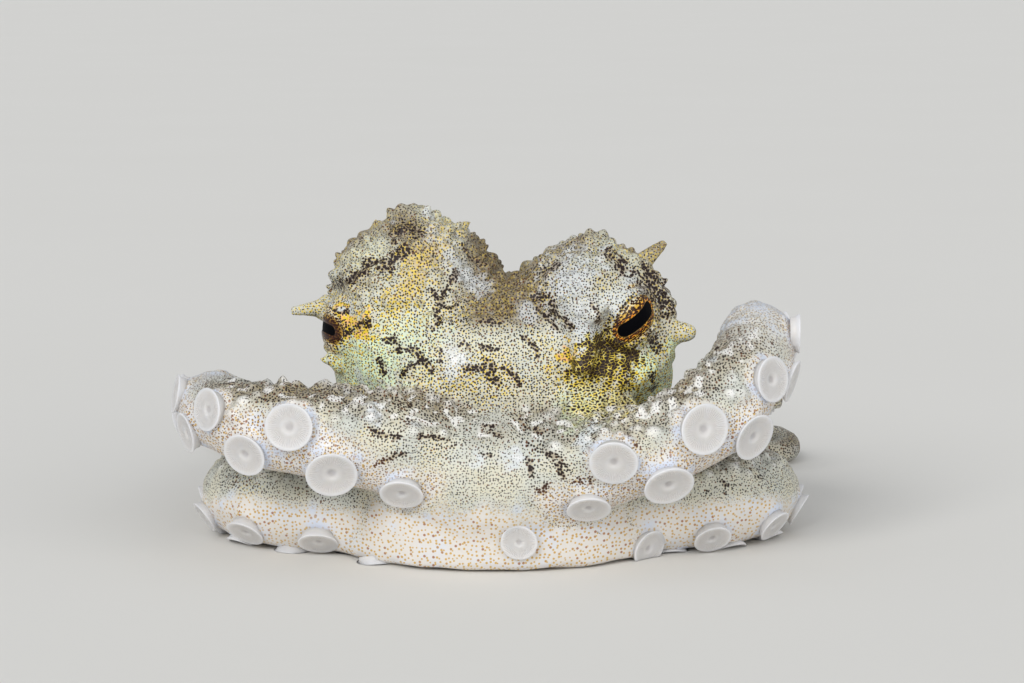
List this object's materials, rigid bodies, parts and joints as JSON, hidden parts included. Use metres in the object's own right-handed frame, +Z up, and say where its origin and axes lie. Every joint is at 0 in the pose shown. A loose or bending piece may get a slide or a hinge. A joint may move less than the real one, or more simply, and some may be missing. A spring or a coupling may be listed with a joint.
{
  "type": "octopus",
  "caption": "Small resting octopus with raised eye mounds, arms wrapped round its front and suckers turned outward.",
  "frame": {"origin": "on the floor, at the middle of the bounding box's footprint", "axes": "+Z up, -Y the way the head faces, +X the animal's left"},
  "size_m": [0.041, 0.0604, 0.0206],
  "materials": {
    "skin": "moist, finely grained skin with dark and yellow pigment spots",
    "skin_under": "moist, translucent pale skin with small yellow and brown spots",
    "eye": "glossy wet eye with a black bar pupil"
  },
  "bodies": {
    "root": {"crown_web": "skin_under", "eye_left": "eye", "eye_right": "eye", "head": "skin", "arm_left_1_root": "skin", "arm_left_1_middle": "skin", "arm_left_1_tip": "skin", "arm_right_1_root": "skin", "arm_right_1_middle": "skin", "arm_right_1_tip": "skin", "arm_left_2_root": "skin", "arm_left_2_middle": "skin", "arm_left_2_tip": "skin", "arm_right_2_root": "skin", "arm_right_2_middle": "skin", "arm_right_2_tip": "skin", "arm_left_3_root": "skin", "arm_left_3_middle": "skin", "arm_left_3_tip": "skin", "arm_right_3_root": "skin", "arm_right_3_middle": "skin", "arm_right_3_tip": "skin", "arm_left_4_root": "skin", "arm_left_4_middle": "skin", "arm_left_4_tip": "skin", "arm_right_4_root": "skin", "arm_right_4_middle": "skin", "arm_right_4_tip": "skin", "mantle": "skin", "funnel": "skin"}
  },
  "joints": []
}
